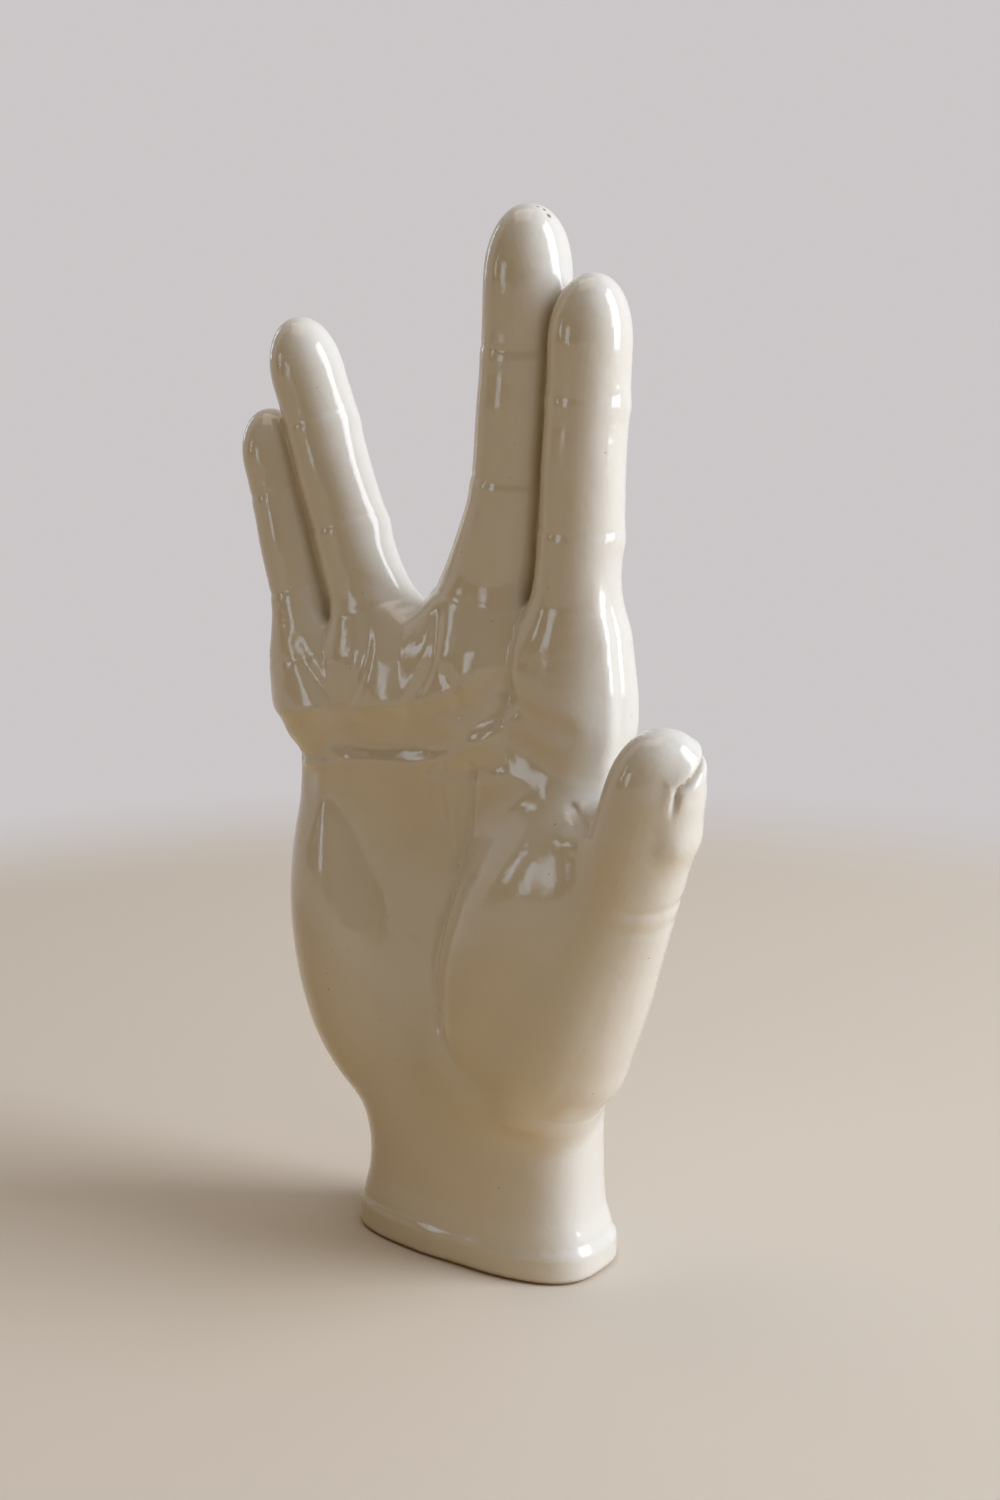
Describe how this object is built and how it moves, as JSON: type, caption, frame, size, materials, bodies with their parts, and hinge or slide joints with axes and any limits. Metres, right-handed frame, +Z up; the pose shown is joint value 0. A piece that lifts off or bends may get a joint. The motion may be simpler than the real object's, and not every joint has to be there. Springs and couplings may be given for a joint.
{
  "type": "ceramic hand sculpture",
  "caption": "Life-size hollow glazed hand that stands on its wrist, palm forward, with parted fingers and a raised thumb; an ornament that can also hold rings and bracelets.",
  "frame": {"origin": "middle of the flat base, on the surface that it stands on", "axes": "+Z up along the hand to the fingertips, palm faces -Y, thumb on the +X side"},
  "size_m": [0.1321, 0.0421, 0.24],
  "materials": {
    "glaze": "high gloss ivory glaze over white clay",
    "bare_clay": "fired clay left bare of glaze, matt",
    "slip": "fired luting slip of the same clay"
  },
  "bodies": {
    "root": {"palm_casting": "glaze", "thumb_casting": "glaze", "index_finger_casting": "glaze", "middle_finger_casting": "glaze", "ring_finger_casting": "glaze", "little_finger_casting": "glaze", "foot_ring": "glaze", "base_slab": "bare_clay", "slip_joints": "slip"}
  },
  "joints": []
}
